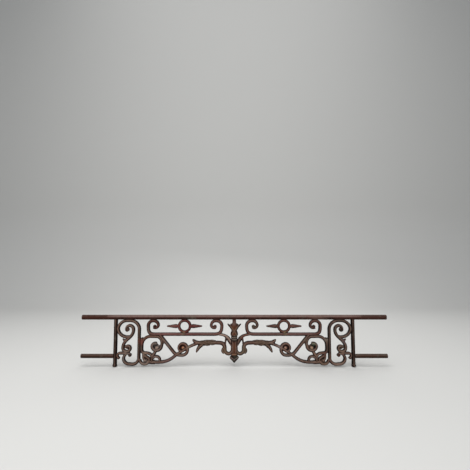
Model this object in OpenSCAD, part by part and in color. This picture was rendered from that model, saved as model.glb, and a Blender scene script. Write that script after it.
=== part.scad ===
// Cast window guard in millimetres: a scrollwork panel between two posts, under a round top rail
// X runs along the rail from its left end, Y points at the window and Z is up
// Scroll outlines are drawn for the right half: x out from the middle, z up from the rail's centre

/* [Rail and wall bars] */
// Length of the top rail, from one jamb to the other
rail_len = 1090; // [960:5:1300]
// Diameter of the round top rail
rail_d = 17; // [13:0.5:20]
// Diameter of the two short lower bars
lower_bar_d = 15; // [10:0.5:18]
// Height of the rail's centre above the lower bars' centre
lower_bar_drop = 136; // [120:1:150]

/* [Posts] */
// Distance between the centres of the two posts
post_span = 849; // [800:1:920]
// Width and depth of a square post
post_w = 11; // [9:0.5:15]
// Height of the rail's centre above the tip of a post's foot
post_len = 174; // [160:1:240]
// Diameter of the round foot of a post
foot_d = 16; // [14:0.5:22]
// Height of that foot
foot_h = 11; // [6:0.5:20]

/* [Scroll bar] */
// Width of a scroll bar, seen from the front
bar_w = 10; // [9:0.1:10.8]
// Width of the stronger upper scroll and its long bar
long_w = 11; // [10:0.1:12]
// Depth of the scroll bars, from front to back
bar_t = 11; // [9:0.5:14]
// Bevel along the front edges
bevel = 2.4; // [1:0.1:3]
// Width of a scroll bar at its curled end, as a share of its full width
tip_share = 0.62; // [0.5:0.02:0.9]
// Diameter of the round eye that ends a curl
eye_d = 10; // [9:0.5:11]
// How far an eye stands proud of the bar, on each side
eye_proud = 0.5; // [0.2:0.1:1.5]
// Thickness of the web that fills a volute
web_t = 6; // [4:0.5:8]
// How far touching scrolls run into each other before the joint is cut
bite = 1.5; // [1:0.1:2.5]

/* [Outer scroll] */
// Distance from a post's face to the centre of the outer scroll's stem
stem_inset = 79; // [74:0.5:84]
// Half height of the round crook under the rail
crook_rise = 29; // [27:0.5:30]
// Height of the rail's centre above the middle of the foot hook
hook_drop = 145; // [142:1:150]
// Half height of the foot hook
hook_rise = 19; // [17:0.5:21]
// Radius of the curl at either end of the S scroll
s_radius = 14; // [12.5:0.5:15]

/* [Upper scroll] */
// Radius of a turn, from its centre up to the rail
turn_r = 16.5; // [15:0.5:18.5]
// Distance from the middle of the guard to the inner turn
inner_turn_x = 44.5; // [42:0.5:48]
// Distance from the outer stem to the outer turn
outer_turn_gap = 32; // [29:0.5:35]

/* [Ring and spindles] */
// Distance from the middle of the guard to the ring's centre
ring_x = 178; // [160:1:196]
// Outer diameter of the ring, which sets how far the long bar hangs under the rail
ring_d = 49; // [46:0.5:54]
// Diameter of the hole in the ring
ring_hole_d = 30; // [24:0.5:35]
// Distance between the tips of the two spindles
spindle_len = 128; // [110:1:140]
// Largest diameter of a spindle
spindle_d = 15; // [11:0.5:18]
// Diameter of the bead under the ring
bead_d = 15; // [13:0.5:18]

/* [Arch, loop and roll] */
// Radius of the arch beside the stem
arch_r = 32; // [29:0.5:34]
// Distance from the outer stem to the centre of the arch's volute
volute_gap = 63; // [60:0.5:66]
// Radius of that volute
volute_r = 17; // [15.5:0.5:18]
// Height of the knot's top band above the middle of the loop
knot_rise = 21; // [19:0.5:23]
// Distance from the outer stem to the middle of the loop
loop_gap = 21; // [19:0.5:23]
// Radius of the loop
loop_r = 16; // [14.5:0.5:17.5]
// Distance from the outer stem to the middle of the half ring
half_gap = 62; // [58:0.5:66]
// Radius of the half ring
half_r = 15; // [13:0.5:17]
// Distance from the outer stem to the middle of the roll
roll_gap = 156; // [150:1:162]
// Radius of the roll
roll_r = 15.5; // [14:0.5:17]

/* [Leaf branch] */
// Distance from the middle of the guard to the outer end of the sheath
sheath_out = 128; // [118:1:136]
// Length of the sheath
sheath_len = 62; // [54:1:68]
// Height of the rail's centre above the sheath's centre
sheath_drop = 90; // [88:0.5:94]
// Distance from the middle of the guard to the centre of the U turn
u_x = 20; // [18:0.5:22]

/* [Centre] */
// Diameter of the stem under the rail
stem_d = 12; // [8:0.5:14]
// Spread of the two side petals, from tip to tip
petal_span = 50; // [42:1:56]
// Largest width of the bulb over the collar
bulb_w = 27; // [24:0.5:30]
// Diameter of the three rings of the collar
collar_d = 21; // [18:0.5:23]
// Smallest diameter of the body under the collar
body_d = 21; // [19:0.5:23]
// Width of the pendant bud
pendant_w = 33; // [28:1:38]
// Height of the rail's centre above the tip of the pendant
pendant_drop = 160; // [154:1:170]

/* [Hidden] */
turn_step = 15;
link_steps = 6;
round_fn = 48;
eye_fn = 16;
rail_r = rail_d / 2;
mid_x = rail_len / 2;
post_face = (post_span - post_w) / 2;
stem_x = post_face - stem_inset;
tip_w = bar_w * tip_share;
leg_w = bar_w + 2;
under_rail = bite - rail_r - bar_w / 2;
turn_top = bite - rail_r - long_w / 2;
long_z = bite - rail_r - ring_d + bite - long_w / 2;
arch_top = long_z - long_w / 2 + 2 * bite - bar_w / 2;
iron = "#5a3a34";
primer = "#7a443f";

// Points of a volute about c: one radius for each quarter turn from angle a0, side +1 or -1
function smooth_radius(radii, q) =
    let (i = min(floor(q), len(radii) - 2), t = q - i, e = (1 - cos(180 * t)) / 2)
    radii[i] + (radii[i + 1] - radii[i]) * (t + e) / 2;
function volute(c, a0, side, radii) =
    let (n = round((len(radii) - 1) * 90 / turn_step))
    [for (i = [0:n]) let (q = i * (len(radii) - 1) / n, a = a0 + side * 90 * q)
        c + smooth_radius(radii, q) * [cos(a), sin(a)]];

// Points between p and q on a curve that leaves p at angle ap and reaches q at angle aq
function heading(a) = [cos(a), sin(a)];
function link(p, ap, q, aq, pull = 0.4, steps = link_steps) =
    let (k = norm(q - p) * pull, b = p + k * heading(ap), c = q - k * heading(aq))
    [for (i = [1:steps - 1]) let (t = i / steps, u = 1 - t)
        u * u * u * p + 3 * u * u * t * b + 3 * u * t * t * c + t * t * t * q];
function reversed(list) = [for (i = [len(list) - 1:-1:0]) list[i]];
function last(list) = list[len(list) - 1];

// Distance along a path to each of its points
function along(path, i = 0, s = 0, out = []) =
    i >= len(path) ? out
    : let (d = i == 0 ? 0 : norm(path[i] - path[i - 1]))
        along(path, i + 1, s + d, concat(out, [s + d]));

// Widths along a path that runs from a width at its start through the full one to one at its end
function widths(path, start_w, full_w, end_w, start_len = 30, end_len = 30) =
    let (s = along(path), total = last(s))
    [for (d = s)
        min(full_w, start_w + (full_w - start_w) * d / start_len,
            end_w + (full_w - end_w) * (total - d) / end_len)];

// Direction across a path at point i, square to the line between its neighbours
function across(path, i) =
    let (d = path[min(i + 1, len(path) - 1)] - path[max(i - 1, 0)], u = d / norm(d))
    [-u[1], u[0]];

// The corners of a bar's section: a flat back and two bevels along the front
function section(w, t) =
    let (h = w / 2, f = min(bevel, 0.6 * h))
    [[-h + f, -t / 2], [h - f, -t / 2], [h, -t / 2 + f], [h, t / 2], [-h, t / 2], [-h, -t / 2 + f]];
function box_section(w, y0, y1) = let (h = w / 2) [[-h, y0], [h, y0], [h, y1], [-h, y1]];
function placed(path, i, corners, scale = 1, ahead = [0, 0]) =
    let (n = across(path, i) * scale, p = path[i] + ahead)
    [for (c = corners) [p[0] + n[0] * c[0], c[1] * scale, p[1] + n[1] * c[0]]];
function prism_faces(n, rings = 3) = concat(
    [[for (i = [0:n - 1]) i]], [[for (i = [n - 1:-1:0]) (rings - 1) * n + i]],
    [for (r = [0:rings - 2], i = [0:n - 1])
        [r * n + i, (r + 1) * n + i, (r + 1) * n + (i + 1) % n, r * n + (i + 1) % n]]);

// The core that joins a length of bar to the next one, inside both
function core(path, i, corners) =
    i >= len(path) - 1 ? placed(path, i, corners)
    : let (d = path[i + 1] - path[i])
        placed(path, i, corners, 0.8, 0.2 * min(norm(d), 1) * d / norm(d));

// A bar along a path, its bevelled section following the widths
module stroke(path, w, t = bar_t) {
    for (i = [0:len(path) - 2])
        hull()
            polyhedron(concat(placed(path, i, section(w[i], t)),
                placed(path, i + 1, section(w[i + 1], t)),
                core(path, i + 1, section(w[i + 1], t))), prism_faces(6));
}

// The same bar with a plain section between two depths, to cut another where they meet
module stroke_cut(path, w, y0 = -bar_t, y1 = bar_t) {
    for (i = [0:len(path) - 2])
        hull()
            polyhedron(concat(placed(path, i, box_section(w[i], y0, y1)),
                placed(path, i + 1, box_section(w[i + 1], y0, y1)),
                core(path, i + 1, box_section(w[i + 1], y0, y1))), prism_faces(4));
}

// A round button at the end of a curl, a little proud of the bar on both sides
module eye(p, d = eye_d, t = bar_t + 2 * eye_proud) {
    r = d / 2;
    translate([p[0], 0, p[1]]) rotate([90, 0, 0])
        rotate_extrude($fn = eye_fn)
            polygon([[0, -t / 2], [r, -t / 2], [r, t / 2 - bevel], [r - bevel, t / 2], [0, t / 2]]);
}
module disc_cut(p, d) {
    translate([p[0], 0, p[1]]) rotate([90, 0, 0])
        cylinder(h = 2 * bar_t, d = d, center = true, $fn = eye_fn);
}

// A thin round web inside a volute
module web(p, d) {
    translate([p[0], 0, p[1]]) rotate([90, 0, 0])
        cylinder(h = web_t, d = d, center = true, $fn = eye_fn);
}

// Both halves share one drawing, mirrored about the middle of the guard
module half(side) {
    translate([mid_x, 0, 0]) mirror([side < 0 ? 1 : 0, 0, 0]) children();
}
module rail_cut() {
    rotate([0, 90, 0])
        cylinder(h = 2 * rail_len, r = rail_r / cos(180 / 64), center = true, $fn = 64);
}

// Top rail
module top_rail() {
    color(primer) rotate([0, 90, 0]) cylinder(h = rail_len, d = rail_d, $fn = round_fn);
}

// Posts
module post_cut() {
    translate([post_face, -bar_t, -2 * post_len]) cube([post_w, 2 * bar_t, 2 * post_len]);
}
module post(side) {
    cone_h = foot_h / 4;
    color(iron) half(side) difference() {
        union() {
            translate([post_face, -post_w / 2, -post_len + foot_h / 2])
                cube([post_w, post_w, post_len - foot_h / 2]);
            translate([post_span / 2, 0, -post_len]) {
                cylinder(h = cone_h, d1 = 0.7 * foot_d, d2 = foot_d, $fn = round_fn);
                translate([0, 0, cone_h])
                    cylinder(h = foot_h / 2, d = foot_d, $fn = round_fn);
                translate([0, 0, foot_h - cone_h])
                    cylinder(h = cone_h, d1 = foot_d, d2 = 0.8 * post_w, $fn = round_fn);
            }
        }
        rotate([0, 90, 0]) cylinder(h = 2 * rail_len, r = rail_r, center = true, $fn = round_fn);
    }
}

// Lower bars from the posts' outer faces to the jambs
module lower_bar(side) {
    color(iron) half(side)
        translate([post_face + post_w, 0, -lower_bar_drop]) rotate([0, 90, 0])
            cylinder(h = mid_x - post_face - post_w, d = lower_bar_d, $fn = round_fn);
}

// S scroll, hung inside the crook and curling back above the foot hook
crook_c = [(post_face - bar_w / 2 + bite + stem_x) / 2, under_rail - crook_rise];
hook_c = [stem_x + 32, -hook_drop];
s_top = crook_c + [-3, -2.5];
s_foot = hook_c + [11, hook_rise + s_radius + 4];
s_upper = volute(s_top, 0, 1, [s_radius - 1, s_radius, s_radius]);
s_lower = volute(s_foot, 0, -1, [s_radius + 0.5, s_radius - 1.5, s_radius - 2, 7.5, 4]);
s_path = concat(s_upper, link(last(s_upper), -92, s_lower[0], -90, 0.42), s_lower);
s_w = widths(s_path, tip_w, bar_w, tip_w, 20, 30);
s_leaf = [crook_c + [5, -46], crook_c + [13, -42], crook_c + [21, -35]];
module s_cut() {
    stroke_cut(s_path, s_w);
    disc_cut(s_foot + [-3, 2], 1.1 * eye_d);
}
module s_scroll(side) {
    color(iron) half(side) union() {
        stroke(s_path, s_w);
        stroke(s_leaf, [6, bar_w, 2]);
        eye(s_top + [7.5, -0.5], 1.5 * eye_d);
        eye(s_foot + [-3, 2], 1.1 * eye_d);
    }
}

// Outer scroll: a crook from post to rail, a straight stem and a hooked foot
crook_r = (post_face - bar_w / 2 + bite - stem_x) / 2;
crook = volute(crook_c, -90, 1, [crook_rise - 0.5, crook_r, crook_rise, crook_r]);
hook = volute(hook_c, 180, 1, [32, hook_rise, 22.5, 18]);
hook_eye = hook_c + [-0.5, 12.5];
outer_path = concat([crook_c + [-6, 1 - crook_rise]], crook, hook);
outer_w = widths(outer_path, bar_w, bar_w, tip_w);
module outer_cut() {
    stroke_cut(outer_path, outer_w);
    disc_cut(hook_eye, 1.2 * eye_d);
}
module outer_scroll(side) {
    color(iron) half(side) difference() {
        union() {
            stroke(outer_path, outer_w);
            eye(hook_eye, 1.2 * eye_d);
        }
        rail_cut();
        post_cut();
        s_cut();
    }
}

// Corner curl against the post
curl_c = [post_face + bite - bar_w / 2 - 8, hook_c[1] + 10.5];
curl = concat([hook_c + [12, 18.5], hook_c + [20, 19]], volute(curl_c, 90, -1, [8, 8, 8]));
curl_w = widths(curl, bar_w, bar_w, tip_w);
module corner_curl(side) {
    color(iron) half(side) difference() {
        union() {
            stroke(curl, curl_w);
            eye(curl_c + [3.5, -8], 0.9 * eye_d);
        }
        post_cut();
        s_cut();
        outer_cut();
    }
}

// Upper scroll: a long bar that curls up to the rail at both ends
out_c = [stem_x - outer_turn_gap - turn_r - 2, turn_top - turn_r];
in_c = [inner_turn_x + turn_r + 5, turn_top - turn_r];
out_curl = volute(out_c, 0, 1, [turn_r + 2, turn_r, turn_r + 1, 7]);
in_curl = volute(in_c, 180, -1, [turn_r + 5, turn_r, turn_r, 8]);
bar_out = [out_c[0] - 5, long_z];
bar_in = [in_c[0] + 6, long_z];
upper_path = concat(reversed(in_curl), link(in_curl[0], -90, bar_in, 0, 0.55), [bar_in, bar_out],
    link(bar_out, 0, out_curl[0], 90, 0.55), out_curl);
upper_w = widths(upper_path, 0.7 * long_w, long_w, 0.7 * long_w, 45, 45);
module upper_cut() {
    stroke_cut(upper_path, upper_w);
}
module upper_scroll(side) {
    color(primer) half(side) difference() {
        union() {
            stroke(upper_path, upper_w);
            eye(in_c + [2.5, -5], 1.3 * eye_d);
            eye(out_c + [-4, -4], 1.1 * eye_d);
        }
        rail_cut();
    }
}

// Arch scroll: up from the low curve, round the knot and beside the stem, over the arch and into a volute
loop_c = [stem_x - loop_gap, hook_c[1] - hook_rise + loop_r];
half_c = [stem_x - half_gap, loop_c[1] - 2.5];
knot_top = [loop_c[0] - 8, loop_c[1] + knot_rise + 1];
leg_x = stem_x - bar_w / 2 + bite - leg_w / 2;
arch_c = [leg_x - arch_r, arch_top - arch_r];
volute_c = [stem_x - volute_gap, arch_top - 2 * volute_r];
arch_foot = half_c + [half_r, -1];
leg_foot = [leg_x, knot_top[1] + 14];
arch_path = concat([arch_foot], link(arch_foot, 92, knot_top, 5, 0.5), [knot_top],
    link(knot_top, 0, leg_foot, 90, 0.5, 4), [leg_foot],
    volute(arch_c, 0, 1, [arch_r, arch_r]),
    volute(volute_c, 90, 1, [2 * volute_r, volute_r, volute_r - 1.5, volute_r - 0.5, 9]));
arch_w = [for (p = arch_path) p[0] > leg_x - 2 ? leg_w : p[1] > knot_top[1] ? bar_w : bar_w - 1];
module arch_cut() {
    stroke_cut(arch_path, arch_w);
}
module arch_scroll(side) {
    color(iron) half(side) difference() {
        union() {
            stroke(arch_path, arch_w);
            web(volute_c + [1, -5.5], 1.5 * volute_r);
            eye(volute_c + [5, 7.5], 1.4 * eye_d);
            stroke([for (k = [0, 0.7]) arch_c + [arch_r, k * arch_r]], [leg_w, leg_w - 2]);
            eye(arch_c + [arch_r - 3, 0.7 * arch_r], 1.2 * eye_d);
        }
        outer_cut();
        upper_cut();
    }
}

// Loop scroll: a loop from the stem's foot that turns back into a tongue, and a long low curve
tongue_top = knot_top + [8.5, 0];
tongue_join = tongue_top + [-1.5, -9.5];
loop = volute(loop_c, 0, -1, [loop_r + 1, loop_r, loop_r + 1]);
loop_path = concat(loop, link(last(loop), 62, tongue_join, 38, 0.35, 4), [tongue_join]);
loop_w = [for (p = loop_path) bar_w - 1];
tongue = [for (d = [0, 11, 20]) tongue_top + [0.1 * d, -d]];
node_p = [stem_x - 134, loop_c[1] + 17];
low_start = [loop_c[0] - loop_r + 2, loop_c[1] - 7.5];
low_mid = [half_c[0] - 8, loop_c[1] - 9.5];
low_path = concat([low_start], link(low_start, 190, low_mid, 180, 0.4, 3), [low_mid],
    link(low_mid, 180, node_p, 136, 0.38), [node_p]);
low_w = [for (p = low_path) p[0] > half_c[0] + 5 ? bar_w + 3 : bar_w];
module loop_cut() {
    stroke_cut(low_path, low_w);
}
module loop_scroll(side) {
    color(iron) half(side) difference() {
        union() {
            stroke(loop_path, loop_w);
            stroke(tongue, [12, 11, 7]);
            stroke(low_path, low_w);
        }
        outer_cut();
        arch_cut();
        diagonal_cut();
    }
}

// Half ring on the low curve, with the tie up to the arch's volute
half_path = volute(half_c, 30, 1, [half_r, half_r, half_r]);
tie_path = [volute_c + [2, -volute_r], volute_c + [7, -volute_r - 7], half_c + [0.9 * half_r, 0.9 * half_r]];
module half_ring(side) {
    color(iron) half(side) difference() {
        union() {
            stroke(half_path, [for (p = half_path) bar_w]);
            stroke(tie_path, [bar_w, bar_w + 2, bar_w + 4]);
        }
        arch_cut();
        loop_cut();
    }
}

// Diagonal that runs down from the arch's shoulder and rolls up into a volute
roll_c = [stem_x - roll_gap, loop_c[1] + 39.5];
under_roll = roll_c + [1.5, -7];
diagonal_top = [volute_c[0] - volute_r + 6, long_z - 2];
diagonal_foot = node_p + [11, 9];
roll = concat(volute(under_roll, -90, -1, [roll_r + 2.5, roll_r + 3]),
    volute(roll_c, 180, -1, [roll_r, roll_r, roll_r - 1, roll_r - 4]));
diagonal_path = concat([diagonal_top, diagonal_foot],
    link(diagonal_foot, 230, roll[0], 180, 0.4, 4), roll);
diagonal_w = widths(diagonal_path, bar_w, bar_w, 0.8 * bar_w, 1, 60);
module diagonal_cut(y0 = -bar_t, y1 = bar_t) {
    stroke_cut(diagonal_path, diagonal_w, y0, y1);
}
module roll_cut() {
    disc_cut(roll_c, 2 * roll_r);
}
module diagonal_volute(side) {
    color(iron) half(side) difference() {
        union() {
            stroke(diagonal_path, diagonal_w);
            web(roll_c, 2 * roll_r - 2);
            eye(roll_c + [-1.5, 1], 1.5 * eye_d);
        }
        upper_cut();
        arch_cut();
        stroke_cut(branch_path, branch_w, -bar_t, 0);
    }
}

// Leaf branch: a stalk over the roll, a lobed sheath and a U turn in to the centre
stalk_end = [sheath_out + 8, -sheath_drop - 4];
sheath_in = sheath_out - sheath_len;
u_c = [u_x, -sheath_drop - 20];
u_turn = concat(volute(u_c, 0, -1, [14, 18.5, 12]), [u_c + [-12.5, 8], u_c + [-13, 16]]);
bar_end = [sheath_in - 10, -sheath_drop + 2.5];
stalk = concat([node_p], link(node_p, 150, stalk_end, 165, 0.3), [stalk_end]);
sheath_w = [15, 15, 20, 24, 18, 21, 12];
sheath = [for (i = [0:6]) [sheath_out - i * sheath_len / 6, -sheath_drop]];
branch_path = concat(stalk, sheath, [bar_end], link(bar_end, 180, u_turn[0], -90, 0.5, 4), u_turn);
branch_w = concat([for (p = stalk) bar_w - 1], sheath_w, [bar_w + 1],
    [for (i = [1:3]) bar_w + 2], [for (i = [1:len(u_turn) - 2]) bar_w + 5.5 - 0.4 * i], [8, 5]);
module leaf_branch(side) {
    upper_tip = [[0, 2], [9, 4], [15, 10], [18, 16]];
    lower_tip = [[-18, -7], [-7, -13], [2, -21], [8, -33]];
    knuckle = [[18, 8], [21, 0], [21, -8], [16, -16]];
    color(iron) half(side) difference() {
        union() {
            stroke(branch_path, branch_w);
            stroke([for (p = knuckle) u_c + p], [6, 10, 11, 9]);
            difference() {
                union() {
                    stroke([for (p = upper_tip) [sheath_out, -sheath_drop] + p], [12, 11, 7, 2]);
                    stroke([for (p = lower_tip) [sheath_out, -sheath_drop] + p], [9, 9, 6.5, 2]);
                }
                diagonal_cut();
                roll_cut();
            }
        }
        diagonal_cut(0, bar_t);
        translate([0, bar_t, 0]) roll_cut();
        loop_cut();
        translate([0, 0, -body_z]) cylinder(h = body_h, d = body_d, $fn = round_fn);
    }
}

// Ring between two spindles, hung under the rail and seated on the long bar by a bead
ring_z = bite - rail_r - ring_d / 2;
module ring_body() {
    r0 = ring_hole_d / 2;
    r1 = ring_d / 2;
    rotate([90, 0, 0]) rotate_extrude($fn = round_fn)
        polygon([[r0, -bar_t / 2], [r1, -bar_t / 2], [r1, bar_t / 2 - bevel],
            [r1 - bevel, bar_t / 2], [r0 + bevel, bar_t / 2], [r0, bar_t / 2 - bevel]]);
}
module spindle(dir) {
    start = (ring_d + ring_hole_d) / 4;
    reach = spindle_len / 2 - start;
    tip_d = 0.4 * spindle_d;
    translate([dir * start, 0, 0]) rotate([0, 90 * dir, 0]) {
        cylinder(h = 0.3 * reach, d1 = 0.8 * spindle_d, d2 = spindle_d, $fn = round_fn);
        translate([0, 0, 0.3 * reach])
            cylinder(h = 0.7 * reach - tip_d / 2, d1 = spindle_d, d2 = tip_d, $fn = round_fn);
        translate([0, 0, reach - tip_d / 2]) sphere(d = tip_d, $fn = round_fn);
    }
}
module spindle_ring(side) {
    color(primer) half(side) difference() {
        translate([ring_x, 0, ring_z]) {
            ring_body();
            spindle(1);
            spindle(-1);
            translate([0, 0, -ring_d / 2]) sphere(d = bead_d, $fn = round_fn);
        }
        rotate([0, 90, 0]) cylinder(h = 2 * rail_len, r = rail_r, center = true, $fn = round_fn);
        translate([ring_x - ring_d, -bar_t / 2, long_z - long_w / 2])
            cube([2 * ring_d, bar_t, long_w]);
    }
}

// Shoulder branch from the inner end of the upper scroll down beside the body
shoulder_top = [inner_turn_x + 10, long_z - 1.5];
shoulder = [for (p = [[6, 1.5], [-6, 0], [-17, -2.5], [-26, -7], [-33, -14], [-38, -23], [-42, -33]])
    shoulder_top + p];
prong = [shoulder_top + [-26, -12], [u_c[0] + 11, -sheath_drop + 5], [u_c[0] + 12, -sheath_drop - 6]];
module shoulder_branch(side) {
    color(iron) half(side) difference() {
        union() {
            stroke(shoulder, [bar_w - 2, bar_w, bar_w, 11, 14, 14, 5]);
            stroke(prong, [8, 6, 6]);
        }
        upper_cut();
        stroke_cut(branch_path, branch_w);
        translate([0, 0, collar_z - 1]) cylinder(h = collar_h + 2, d = collar_d, $fn = round_fn);
        translate([0, 0, -body_z]) cylinder(h = body_h, d = body_d + 1, $fn = round_fn);
    }
}

// Centre: stem and lotus petals, collar of three rings, body and pendant bud
bulb_z = long_z - 6.5;
collar_h = 20;
collar_z = bulb_z - collar_h;
body_z = pendant_drop - 23;
body_h = body_z + collar_z;
module centre_finial() {
    neck = 0.75 * bulb_w;
    color(iron) translate([mid_x, 0, 0]) difference() {
        union() {
            stroke([[0, 0], [0, -20], [0, -25], [0, -31], [0, -46], [0, bulb_z + 7], [0, bulb_z]],
                [stem_d, stem_d, bulb_w, neck, neck, bulb_w, collar_d]);
            for (s = [-1, 1])
                stroke([[s * 6, -42], [s * 11, -36], [s * 17, -30], [s * petal_span / 2, -23]], [9, 9, 8, 2]);
        }
        rail_cut();
    }
}
module centre_collar() {
    step = collar_h / 3;
    color(iron) translate([mid_x, 0, collar_z])
        for (i = [0:2]) translate([0, 0, step * i]) {
            cylinder(h = 0.75 * step, d = collar_d, $fn = round_fn);
            translate([0, 0, 0.75 * step]) cylinder(h = step / 4, d = 0.84 * collar_d, $fn = round_fn);
        }
}
module centre_body() {
    r = body_d / 2;
    band = 8;
    color(iron) translate([mid_x, 0, -body_z]) rotate_extrude($fn = round_fn)
        polygon([[0, 0], [r + 0.5, 0], [r + 1.5, 2], [r + 1.5, band - 2], [r + 0.5, band],
            [r, 2 * band], [r, body_h - 10], [r + 0.5, body_h - 5], [r + 0.5, body_h], [0, body_h]]);
}
module centre_pendant() {
    drop = pendant_drop - body_z;
    color(iron) translate([mid_x, 0, -body_z]) union()
        stroke([for (k = [0, 0.17, 0.45, 0.75, 1]) [0, -k * drop]],
            [for (k = [0.85, 1, 0.75, 0.4, 0.06]) k * pendant_w]);
}

top_rail();
post(-1);  // left_post
post(1);  // right_post
lower_bar(-1);  // left_lower_bar
lower_bar(1);  // right_lower_bar
outer_scroll(-1);  // left_outer_scroll
outer_scroll(1);  // right_outer_scroll
s_scroll(-1);  // left_s_scroll
s_scroll(1);  // right_s_scroll
corner_curl(-1);  // left_corner_curl
corner_curl(1);  // right_corner_curl
arch_scroll(-1);  // left_arch_scroll
arch_scroll(1);  // right_arch_scroll
diagonal_volute(-1);  // left_diagonal_volute
diagonal_volute(1);  // right_diagonal_volute
loop_scroll(-1);  // left_loop_scroll
loop_scroll(1);  // right_loop_scroll
half_ring(-1);  // left_half_ring
half_ring(1);  // right_half_ring
upper_scroll(-1);  // left_upper_scroll
upper_scroll(1);  // right_upper_scroll
spindle_ring(-1);  // left_spindle_ring
spindle_ring(1);  // right_spindle_ring
leaf_branch(-1);  // left_leaf_branch
leaf_branch(1);  // right_leaf_branch
shoulder_branch(-1);  // left_shoulder_branch
shoulder_branch(1);  // right_shoulder_branch
centre_finial();
centre_collar();
centre_body();
centre_pendant();
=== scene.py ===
from math import ceil, cos, hypot, pi, radians, sin

import bpy
import numpy as np
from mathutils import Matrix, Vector
from mathutils.kdtree import KDTree


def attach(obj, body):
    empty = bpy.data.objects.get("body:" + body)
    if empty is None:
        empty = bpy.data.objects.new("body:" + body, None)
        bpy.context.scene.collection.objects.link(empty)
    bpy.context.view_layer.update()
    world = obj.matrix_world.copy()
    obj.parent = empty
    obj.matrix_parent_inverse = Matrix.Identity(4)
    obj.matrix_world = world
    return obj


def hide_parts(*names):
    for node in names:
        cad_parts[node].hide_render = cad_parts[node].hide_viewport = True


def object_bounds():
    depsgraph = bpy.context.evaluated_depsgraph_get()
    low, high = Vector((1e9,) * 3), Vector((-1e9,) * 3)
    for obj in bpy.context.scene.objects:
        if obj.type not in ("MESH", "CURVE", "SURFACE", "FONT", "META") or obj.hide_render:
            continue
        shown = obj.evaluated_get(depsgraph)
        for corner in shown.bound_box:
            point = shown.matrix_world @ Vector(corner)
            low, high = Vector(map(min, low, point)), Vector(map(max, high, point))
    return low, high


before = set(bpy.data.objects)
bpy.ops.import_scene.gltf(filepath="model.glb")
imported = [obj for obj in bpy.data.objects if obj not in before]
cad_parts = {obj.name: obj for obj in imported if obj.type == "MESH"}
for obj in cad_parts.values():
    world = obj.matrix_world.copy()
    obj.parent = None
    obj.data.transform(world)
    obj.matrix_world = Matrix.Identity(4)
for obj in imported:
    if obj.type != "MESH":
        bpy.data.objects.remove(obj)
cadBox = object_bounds()
print("frame loaded")

# Outlines are drawn in mm for the right half: x out from the middle, z up from the rail's centre
# Negative y is the front, which faces the camera
guard = {
    "middle": 545.0,       # from the rail's left end to the middle
    "barWidth": 11.1,
    "barDepth": 11.0,
    "frontRound": 4.2,     # the front is rounded more than the back
    "backRound": 0.9,
    "longRun": 15.0,       # a run longer than this stays straight right up to the curls at its ends
    "runEnd": 3.0,         # the curls take over this far from its ends
    "voxel": 1.05,         # how finely joined bars are fused
    "fineVoxel": 0.9,      # the same for the centre and the posts
    "smoothing": 2,        # how often a fused surface is evened out
    "cornerShare": 0.49889,      # corners of just under half its size turn a square bar round
}
barWidth = guard["barWidth"]


# Points of a scroll: one radius for each quarter turn from startAngle, side +1 or -1
def turn(centre, startAngle, side, radii, step=6):
    count = round((len(radii) - 1) * 90 / step)
    points = []
    for i in range(count + 1):
        q = i * (len(radii) - 1) / count
        k = min(int(q), len(radii) - 2)
        ease = (q - k + (1 - cos(pi * (q - k))) / 2) / 2
        radius = radii[k] + (radii[k + 1] - radii[k]) * ease
        angle = radians(startAngle + side * 90 * q)
        points.append((centre[0] + radius * cos(angle), centre[1] + radius * sin(angle)))
    return points


# Points between p and q on a curve that leaves p at one angle and reaches q at another
def link(p, startAngle, q, endAngle, pull=0.4, steps=14):
    k = hypot(q[0] - p[0], q[1] - p[1]) * pull
    b = (p[0] + k * cos(radians(startAngle)), p[1] + k * sin(radians(startAngle)))
    c = (q[0] - k * cos(radians(endAngle)), q[1] - k * sin(radians(endAngle)))
    points = []
    for i in range(1, steps):
        t = i / steps
        u = 1 - t
        points.append(tuple(u**3 * p[j] + 3 * u * u * t * b[j] + 3 * u * t * t * c[j] + t**3 * q[j]
                            for j in (0, 1)))
    return points


# Widths that grow from the start, stay full and shrink to the end
def taper(points, start, full, end, startLength=30, endLength=30):
    steps = [hypot(b[0] - a[0], b[1] - a[1]) for a, b in zip(points, points[1:])]
    run = np.concatenate([[0], np.cumsum(steps)])
    grow = start + (full - start) * run / startLength
    shrink = end + (full - end) * (run[-1] - run) / endLength
    return np.minimum(full, np.minimum(grow, shrink))


# A bar along smooth points, with its width, depth and set-back at each of them
def bar(points, width=barWidth, depth=guard["barDepth"], setBack=0.0, spacing=1.5):
    count = len(points)
    rows = np.column_stack([np.array(points, float)] + [np.broadcast_to(v, count).astype(float)
                                                        for v in (width, depth, setBack)])
    knots = [rows[0]]
    for p, q in zip(rows, rows[1:]):
        length = hypot(*(q - p)[:2])
        if length > guard["longRun"]:
            knots += [p + (q - p) * guard["runEnd"] / length, q + (p - q) * guard["runEnd"] / length]
        knots.append(q)
    knots = np.array(knots)
    gaps = np.hypot(*np.diff(knots[:, :2], axis=0).T)[:, None]
    slopes = np.diff(knots, axis=0) / gaps
    leans = np.vstack([
        slopes[:1],
        (gaps[1:] * slopes[:-1] + gaps[:-1] * slopes[1:]) / (gaps[1:] + gaps[:-1]),
        slopes[-1:],
    ])
    smooth = []
    for i, gap in enumerate(gaps[:, 0]):
        pieces = max(1, ceil(gap / spacing))
        for t in np.arange(pieces) / pieces:
            ease = t * t * (3 - 2 * t)
            smooth.append(knots[i] * (1 - ease) + knots[i + 1] * ease
                          + gap * t * (1 - t) * (leans[i] * (1 - t) - leans[i + 1] * t))
    smooth.append(rows[-1])
    smooth = np.array(smooth)
    smooth[:, 2:4] = np.maximum(smooth[:, 2:4], 1.0)      # nothing gets thinner than 1 mm
    return smooth


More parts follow.
